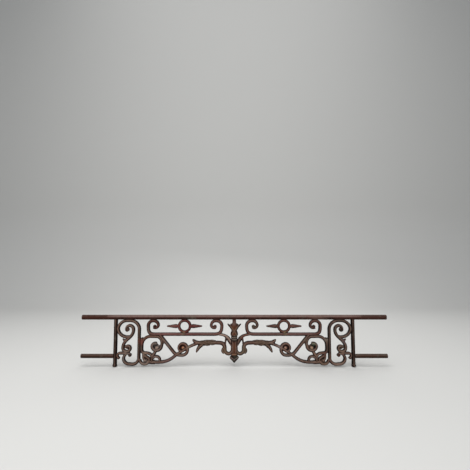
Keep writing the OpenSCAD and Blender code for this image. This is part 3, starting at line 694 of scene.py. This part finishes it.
branchBars = [
    bar(diagonal, taper(diagonal, barWidth, barWidth, branch["rollTip"], 1, 60)),
    bar(stalk + [(128, -90.5)], barWidth - 1),
    bar([(140, -93), (128, -90.5), (100, -90), (66, -90), branch["innerStart"]], [8, 8, 9, 12.5, 13.5], 12),
    bar(sheath, [13, 18, 19, 19, 18, 16.5, 14], 8, 1.0),
    bar(inner, innerWidths[:len(inner)]),
    bar([(36, -106), (40.6, -112), (41.4, -119), (36, -126.5)], [5, 8.5, 10, 9]),         # lobe on the turn
    bar([(126, -90), (134.5, -89), (140.5, -86), (145, -82), (149.3, -78)], [13, 13, 12, 9, 3],
        [11, 11, 11, 10, 7]),                                                             # upper leaf
    bar([(112, -96), (120, -101), (126, -106), (130, -112.5), (133, -118), (135.4, -123.5)],
        [10, 13, 12.5, 11, 8, 4.5], [11, 11, 11, 10, 9, 7]),                              # lower leaf
    bar([(112, -88), (100, -84), (88, -82.5)], [5, 8, 4], [10, 11, 8]),                   # sheath lobes
    bar([(94, -87), (82, -83.5), (71, -83)], [5, 8, 4], [10, 11, 8]),
    bar([(108, -93), (97, -97), (86, -97.5)], [5, 7.5, 3], [10, 11, 8]),
    bar([(90, -91), (80, -94.8), (70, -95.5)], [5, 7.5, 3], [10, 11, 8]),
    bar([(60.5, -59.5), (48.5, -61), (37.5, -63.5), (28.5, -68), (21.5, -75), (16.5, -84),
         (13.6, -92.5), (10.8, -101)], [7, 9, 9, 11, 14, 14, 9, 4]),                      # shoulder
    bar([(28.5, -73), (31, -85), (32, -96)], [8, 6, 6]),
]
branchForms = [
    turned([(0.02, -5.4), (2.6, -5.1), (4.8, -3.8), (6.2, -0.6), (6.6, 1.4), (14, 1.4), (14, 3.6),
            (0.02, 3.6)], (182.5, 0, -107.5), axis="y"),                    # boss in the roll
]

# Upper scroll: a long bar with a curl up to the rail at each end, and the ring with its two spindles
upper = {
    "outTurn": (289.5, -29), "outRadii": [18.5, 16.5, 17.5, 7],
    "inTurn": (66, -29), "inRadii": [21.5, 16.5, 16.5, 8],
    "barZ": -60, "barOut": 284.5, "barIn": 72, "width": 11.8, "tipWidth": 8.5,
    "ring": (178, -31.5), "ringRadius": 24.6, "holeRadius": 14.9,
    "spindle": 7.5, "spindleReach": 64, "bead": 7.5,
}
outTurn = turn(upper["outTurn"], 0, 1, upper["outRadii"])
inTurn = turn(upper["inTurn"], 180, -1, upper["inRadii"])
barIn, barOut = (upper["barIn"], upper["barZ"]), (upper["barOut"], upper["barZ"])
longLine = (inTurn[::-1] + link(inTurn[0], -90, barIn, 0, 0.55) + [barIn, barOut]
            + link(barOut, 0, outTurn[0], 90, 0.55) + outTurn)
upperBars = [bar(longLine, taper(longLine, upper["tipWidth"], upper["width"], upper["tipWidth"], 45, 45))]
upperForms = [button((69, -33.5), 13, dimple=0.8), button((285, -32.5), 11, dimple=0.6)]
ringX, ringZ = upper["ring"]
inside, outside = upper["holeRadius"], upper["ringRadius"]
upperForms.append(turned(
    [(inside, -3), (inside + 1.2, -4.9), (inside + 3, -5.5), (outside - 4.5, -5.5), (outside - 2, -4.7),
     (outside, -2.5), (outside, 4.5), (outside - 1.2, 5.5), (inside + 1.2, 5.5), (inside, 4.5)],
    (ringX, 0, ringZ), axis="y", sides=64, closed=True))
thick = upper["spindle"]
for way in (1, -1):
    upperForms.append(turned([
        (0.7 * thick, way * 20), (0.8 * thick, way * 25.5), (thick, way * 29), (0.98 * thick, way * 33),
        (0.82 * thick, way * 41), (0.58 * thick, way * 52), (0.42 * thick, way * 60),
        (0.3 * thick, way * (upper["spindleReach"] - 1)), (0.02, way * upper["spindleReach"])],
        (ringX, 0, ringZ), axis="x", sides=24))
bead = upper["bead"]
beadProfile = [(bead * sin(a), -bead * cos(a)) for a in np.linspace(0.35, 2.8, 9)]
upperForms.append(turned([(0.02, -bead)] + beadProfile + [(0.02, bead)],
                         (ringX, 0, ringZ - outside), sides=24))
ringPaths = [np.array([(ringX + 20 * cos(a), ringZ + 20 * sin(a), 10) for a in np.linspace(0, 2 * pi, 61)])]
for way in (1, -1):
    ringPaths.append(bar([(ringX + way * x, ringZ) for x in (22, 32, 50, 63)], [11, 15, 9, 4]))

# Centre: lotus finial, collar of three rings, leaf body and pendant bud
centre = {"stem": 13, "collarTop": -67, "ringHeight": 6.7, "rings": 3}
centreBars = [
    bar([(0, -3), (0, -12), (0, -26)], centre["stem"], 10),
    bar([(0, -18), (0, -24), (0, -31), (0, -40), (0, -47)], [9, 20, 20, 17, 19], [9, 12, 13, 13, 13]),
    bar([(0, -44), (0, -50), (0, -56), (0, -61), (0, -67)], [18, 21.5, 26, 27, 21], [13, 15, 17, 18, 17]),
    bar([(0, -26), (0, -40), (0, -64)], [2.5, 3.5, 4.5], [15, 17, 20.5]),              # middle rib
]
for way in (1, -1):
    centreBars += [
        bar([(way * x, z) for x, z in ((4, -48), (8, -40), (13, -33), (18, -29), (24.5, -23.2))],
            [8, 9.5, 9, 7, 2.5], [12, 12, 11, 9, 5]),                                  # outer petal
        bar([(way * x, z) for x, z in ((2, -33), (7, -28), (13.5, -23.5))], [9, 6.5, 2.5], [12, 10, 6]),
        bar([(way * x, z) for x, z in ((5, -48), (8.5, -56), (8, -65))], [3, 4, 3.5], [15, 17.5, 18]),
        bar([(way * x, z) for x, z in ((3.5, -92), (5.5, -106), (5, -124))], [4, 6, 4], [18, 19.5, 18]),
    ]
rings = []
for k in range(centre["rings"]):
    top = centre["collarTop"] - centre["ringHeight"] * k
    rings += [(9.8, top), (11.5, top - 1.4), (12, top - 3.3), (11.5, top - 5.2), (9.8, top - 6.6)]
centreForms = [
    turned([(0.02, -65)] + rings + [(9.5, -88), (0.02, -88)], (0, 0, 0)),
    turned([(0.02, -86), (10.6, -86.5), (10.8, -92), (10, -97), (9.2, -112), (9.6, -122), (10.8, -128),
            (12, -130.2), (12, -134.8), (10.8, -137), (0.02, -137)], (0, 0, 0)),
]
pendant = [(0, -136), (0, -138), (0, -141), (0, -147), (0, -154), (0, -159.6)]
centreBars += [
    bar(pendant, [25, 29, 33, 25.5, 12.5, 2], [13, 14, 14, 13, 10, 5]),
    bar([(0, -138), (0, -148), (0, -158)], [3, 4, 2], [17, 17, 8]),
    bar([(-13, -141), (-5, -145), (0, -152)], [3, 3.5, 2], [15, 16, 13]),
    bar([(13, -141), (5, -145), (0, -152)], [3, 3.5, 2], [15, 16, 13]),
]

panelArrays = fuse(endBars + archBars + branchBars, endForms + archForms + branchForms, rustedIron)
upperArrays = fuse(upperBars, upperForms, redPrimer)
centreArrays = fuse(centreBars, centreForms, rustedIron, guard["fineVoxel"])

halves = ((1, "right"), (-1, "left"))

# Where the iron is redder, paler or darker than the rest, different on each side and tuned until
# the colours agreed with those measured in the reference; marks noted below are painted highlights, shade or
# bounce light
panelStainsAndShading = {
    "right": [
        spot(378, -40, 60, "#38332d", 0.6), spot(340, -62, 20, "#292521", 0.8),
        spot(340, -108, 34, "#2c2420", 0.75), spot(318, -126, 16, "#55302b", 0.7),
        # the pale spot on the loop's bottom at (319, -162) is painted bounce light from below
        spot(319, -162, 20, "#78604f", 0.6), spot(314, -153, 9, "#7f6456", 0.8),
        spot(372, -164, 20, "#8a7468", 0.6), spot(186, -133, 16, "#6b5d55", 0.6),
        spot(300, -68, 16, "#473b35", 0.6), spot(270, -160, 16, "#594740", 0.6),
        spot(282, -94, 11, "#5c6150", 0.9), spot(276, -108, 8, "#ab8d75", 0.85),
        spot(184, -104, 20, "#5e3d34", 0.6), spot(182, -107, 7, "#b08a76", 0.8),
        spot(262, -102, 14, "#6f564a", 0.7), spot(383, -121, 12, "#7d6456", 0.7),
        spot(390, -86, 12, "#57494a", 0.7), spot(287, -128, 10, "#7a5e4e", 0.6),
        spot(160, -104, 14, "#84706b", 0.7), spot(378, -11, 18, "#2c2723", 0.7),
        spot(340, -38, 26, "#2a2624", 0.7),
        ([(48, -60), (36, -64), (26, -72)], 6.0, "#5f3a2e", 0.8),
        # the dark line under the shoulder is painted shade
        ([(34, -74), (22, -86), (14, -93)], 4.5, "#241614", 0.8),
        spot(100, -90, 42, "#4f4233", 0.6), spot(30, -118, 22, "#5b5140", 0.6),
        spot(56, -90, 24, "#4a2f27", 0.7), spot(252, -78, 22, "#4a3a32", 0.5),
        spot(383, -108, 18, "#5f5448", 0.5), spot(328, -78, 9, "#8d7f74", 0.7),
    ],
    "left": [
        spot(-378, -40, 60, "#53433b", 0.5), spot(-340, -80, 40, "#2f2a21", 0.75),
        spot(-328, -84, 18, "#6e332b", 0.8), spot(-340, -120, 26, "#382c27", 0.75),
        spot(-278, -98, 20, "#8a7c76", 0.75),
        # the pale line along the shoulder's top is a painted highlight, the dark line under it painted shade
        ([(-51, -59), (-30, -64), (-17.6, -75.4), (-11, -87)], 3.6, "#a38a7d", 0.8),
        ([(-35, -70), (-25, -80.5), (-13, -91)], 4.6, "#211816", 0.85),
        spot(-160, -104, 14, "#806f5f", 0.7), spot(-318, -127, 12, "#7f6a5c", 0.8),
        spot(-391, -146, 12, "#625e5b", 0.7), spot(-240, -140, 30, "#66514f", 0.5),
        # the pale spot on the loop's bottom at (-319, -160) is painted bounce light from below
        spot(-383, -124, 16, "#75675f", 0.7), spot(-319, -160, 18, "#8a796f", 0.6),
        spot(-314, -153, 9, "#927f76", 0.8), spot(-186, -133, 16, "#7b6d64", 0.5),
        spot(-240, -93, 16, "#6c5f5b", 0.5), spot(-270, -160, 18, "#54423b", 0.6),
        spot(-300, -67, 20, "#33251f", 0.8), spot(-278, -136, 14, "#6c5c56", 0.5),
        spot(-300, -74, 28, "#643d2d", 0.6), spot(-56, -90, 24, "#563c33", 0.6),
        spot(-276, -108, 8, "#a38b7b", 0.85), spot(-282, -94, 11, "#4e4741", 0.8),
        spot(-184, -106, 20, "#5c3626", 0.7), spot(-182, -107, 7, "#b07a5c", 0.85),
        spot(-100, -90, 42, "#4d4031", 0.6), spot(-30, -118, 22, "#63533f", 0.6),
        spot(-225, -150, 36, "#5d4446", 0.5), spot(-383, -104, 14, "#6a5044", 0.5),
    ],
}
upperStainsAndShading = {
    "right": [
        spot(178, -31, 40, "#5a382c", 0.8), spot(135, -60, 60, "#42302a", 0.6),
        spot(66, -30, 30, "#57493f", 0.7), spot(289, -30, 34, "#46322a", 0.7),
        spot(182, -56, 9, "#77704e", 0.7), spot(230, -59, 50, "#4c3731", 0.6),
    ],
    "left": [
        spot(-178, -31, 70, "#622422", 0.8), spot(-178, -31, 34, "#4b1c1b", 0.75),
        spot(-150, -60, 60, "#4c2522", 0.6), spot(-66, -30, 30, "#5c4138", 0.6),
        spot(-289, -30, 34, "#3e1d18", 0.85), spot(-182, -56, 9, "#77704e", 0.7),
        spot(-230, -59, 60, "#6b433f", 0.7),
    ],
}
centreStainsAndShading = [
    spot(0, -36, 14, "#633b29", 0.8), spot(0, -57, 9, "#593423", 0.8), spot(0, -20, 13, "#66514a", 0.7),
    spot(0, -106, 22, "#5b3724", 0.75), spot(0, -150, 18, "#1b1412", 0.85),
]
for way in (1, -1):
    centreStainsAndShading += [
        # Dark lines along the bulb, the outer petals and the body's sides are painted shade; pale lines down
        # the body's sides are painted highlights; on the pendant the dark spots are painted shade and the
        # pale lines painted highlights
        ([(way * 13, -37), (way * 9.5, -47), (way * 12, -56), (way * 13, -63)], 3.4, "#1a100e", 0.85),
        ([(way * 15, -29.5), (way * 6, -39.5), (0, -47.7), (-way * 5, -55), (-way * 9.5, -62)],
         2.4, "#74604f", 0.6),                                               # painted highlights along the petals that cross
        ([(way * 24, -23), (way * 14, -36)], 4.0, "#1e1412", 0.85),
        ([(way * 10.5, -88), (way * 9.5, -110), (way * 10, -124)], 3.2, "#1a100d", 0.8),
        ([(way * 6.5, -84.5), (way * 5, -93), (way * 5.2, -122)], 2.2, "#7b6357", 0.7),
        ([(way * 5, -142), (way * 5, -144)], 3.6, "#171110", 0.8),
        ([(way * 14, -139), (0, -147), (way * -2, -150)], 2.0, "#85746e", 0.7),
    ]
# Collar: the pale lines are painted highlights on the rings' tops and the dark lines painted shade in the
# grooves between them
centreStainsAndShading += [stripe(-8, 8, z, 3.4, "#a08c7e", 0.9) for z in (-70.5, -77.5)]
centreStainsAndShading += [stripe(-12, 12, z, 3.7, "#080504", 1.0) for z in (-67, -74, -81)]
centreStainsAndShading += [
    # A pale stripe painted as a highlight on the base band and a dark stripe painted as shade in the groove
    # under it
    stripe(-8, 8, -128.5, 3.0, "#7d5d49", 0.7), stripe(-12, 12, -133.6, 2.8, "#120b09", 0.9),
    spot(0, -63, 3.5, "#7f624e", 0.6), spot(0, -151, 3.5, "#171110", 0.8),
]
for way, word in halves:
    # painted shade along the long bar's underside and a painted highlight along its top
    upperStainsAndShading[word] += [stripe(way * 74, way * 284, -65, 4.0, "#2a1813", 0.75),
                          stripe(way * 74, way * 284, -56.5, 4.5, "#7f6463", 0.35)]

panelNodes = ["outer_scroll", "s_scroll", "corner_curl", "arch_scroll", "diagonal_volute", "loop_scroll",
              "half_ring", "leaf_branch", "shoulder_branch"]
for side, word in halves:
    makePiece(word + "_scroll_panel", panelArrays, rustedIron,
              [f"{word}_{n}" for n in panelNodes], 4.0 + side, side, stainsAndShading=panelStainsAndShading[word],
              paths=endBars + archBars + branchBars)
    makePiece(word + "_upper_scroll_work", upperArrays, redPrimer,
              [f"{word}_upper_scroll", f"{word}_spindle_ring"], 8.0 + side, side,
              stainsAndShading=upperStainsAndShading[word], paths=upperBars + ringPaths)
makePiece("centre_ornament", centreArrays, rustedIron,
          ["centre_finial", "centre_collar", "centre_body", "centre_pendant"], 12.0, wave=0.2,
          stainsAndShading=centreStainsAndShading)
print("castings fused")

# Round rail, square posts on round feet, and the short round bars beside the posts
stock = {
    "railSize": 17, "postSize": 12.6, "postX": 424.5, "postTop": -7, "postEnd": -168, "postHighlightWidth": 9.5,
    "footSize": 16, "lowerSize": 14.8, "lowerStart": 430, "lowerZ": -136,
}
middle = guard["middle"]
# The rail's pale stripe along its top is a painted highlight and the dark stripe underneath painted shade
makePiece("top_rail_bar", roundBar(-middle, middle, 0, stock["railSize"], redPrimer, 3.0, 7), redPrimer,
          ["top_rail"], 20.0, wave=0.35, grain=0.1,
          stainsAndShading=[stripe(-450, 450, 6, 6.3, "#8a736c", 0.53),
                  stripe(-middle, middle, -7.5, 5.5, "#20120f", 0.75),
                  spot(-500, -2, 80, "#3d241c", 0.75), spot(500, -2, 80, "#412c26", 0.7),
                  spot(300, 0, 40, "#6f584f", 0.4)])
postX = stock["postX"]
footRadius = stock["footSize"] / 2
postForms = [turned([(0.02, -173.8), (5, -173.4), (7.2, -171.8), (footRadius, -169), (footRadius, -167),
                     (7.2, -164.8), (5, -163.4), (0.02, -163)], (postX, 0, 0), sides=32)]
postBar = bar([(postX, stock["postTop"]), (postX, stock["postEnd"])], stock["postSize"], 11)
postArrays = fuse([postBar], postForms, rustedIron, guard["fineVoxel"])
lowerZ = stock["lowerZ"]
lowerArrays = roundBar(stock["lowerStart"], middle, lowerZ, stock["lowerSize"], rustedIron, 2.0, 6)
for side, word in halves:
    # each post gets a painted highlight down its ridge
    makePiece(word + "_post_bar", postArrays, rustedIron, [word + "_post"], 24.0 + side, side,
              stainsAndShading=[spot(side * postX, -90, 110, "#261c18", 0.85)],
              paths=[bar([(postX, 0), (postX, -174)], stock["postHighlightWidth"])])
    # the short bar's pale stripe along its top is a painted highlight
    makePiece(word + "_wall_bar", lowerArrays, rustedIron, [word + "_lower_bar"],
              28.0 + side, side,
              stainsAndShading=[spot(side * 490, lowerZ, 90, "#311f17", 0.85),
                      stripe(side * stock["lowerStart"], side * middle, lowerZ + 5, 4.5, "#5f4a40", 0.45)])
print("rail, posts and short bars made")

# Pale studio floor that sweeps up behind the guard
studio = {"floor": "#c0bfbc", "front": -4.0, "back": 1.6, "halfWidth": 16.0, "curve": 1.0, "height": 6.0,
          "floorZ": -0.1742, "surround": "#e6ebf0", "surroundStrength": 0.48}
profile = [(studio["front"], 0.0)]
for i in range(13):
    a = pi / 2 * i / 12
    profile.append((studio["back"] + studio["curve"] * sin(a), studio["curve"] * (1 - cos(a))))
profile.append((studio["back"] + studio["curve"], studio["height"]))
floorVerts = [(middle / 1000 + x, y, studio["floorZ"] + z) for y, z in profile
              for x in (-studio["halfWidth"], studio["halfWidth"])]
floorFaces = [(2 * i, 2 * i + 1, 2 * i + 3, 2 * i + 2) for i in range(len(profile) - 1)]
floor = bpy.data.objects.new("studio_floor", arraysMesh("studio_floor", np.array(floorVerts), floorFaces))
bpy.context.scene.collection.objects.link(floor)
for face in floor.data.polygons:
    face.use_smooth = True
paper = bpy.data.materials.new("matt_studio_paper")      # uncoated paper: even, pale and without gloss
paper.use_nodes = True
paperFinish = paper.node_tree.nodes["Principled BSDF"]
paperFinish.inputs["Base Color"].default_value = colour(studio["floor"])
paperFinish.inputs["Roughness"].default_value = 0.9
floor.data.materials.append(paper)

# Soft light: place, aim, power in W and size in m of each lamp, and an even pale surround
toGuard = (middle / 1000, 0, -0.08)
lights = {
    "overhead": ((0.2, -0.9, 1.9), toGuard, 34.0, 1.6),
    "front": ((0.3, -2.5, 1.2), toGuard, 25.0, 1.6),
    "backdrop": ((0.5, 0.7, 3.0), (middle / 1000, 2.6, 0.9), 36.0, 3.6),
    "behind": ((0.7, 1.5, 1.3), toGuard, 12.0, 1.6),
}
for name, (place, aim, power, size) in lights.items():
    lamp = bpy.data.lights.new(name, "AREA")
    lamp.energy = power
    lamp.size = size
    holder = bpy.data.objects.new(name, lamp)
    holder.location = place
    holder.rotation_mode = "QUATERNION"
    holder.rotation_quaternion = (Vector(aim) - holder.location).to_track_quat("-Z", "Y")
    bpy.context.scene.collection.objects.link(holder)
world = bpy.data.worlds.new("pale_surround")
world.use_nodes = True
world.node_tree.nodes["Background"].inputs["Color"].default_value = colour(studio["surround"])
world.node_tree.nodes["Background"].inputs["Strength"].default_value = studio["surroundStrength"]
bpy.context.scene.world = world
bpy.context.scene.view_settings.view_transform = "Standard"      # keeps thin dark bars from being washed out

# The camera looks straight at the guard from a little above it, tilted up
lens = {"focal": 27.2, "place": (0.546, -1.2955, 0.192), "tilt": 4.6, "shift": 0.001}
cameraData = bpy.data.cameras.new("camera")
cameraData.lens = lens["focal"]
cameraData.shift_x = lens["shift"]
camera = bpy.data.objects.new("camera", cameraData)
camera.location = lens["place"]
camera.rotation_euler = (radians(90 + lens["tilt"]), 0, 0)
bpy.context.scene.collection.objects.link(camera)
bpy.context.scene.camera = camera

bpy.context.view_layer.update()
print("scene ready")
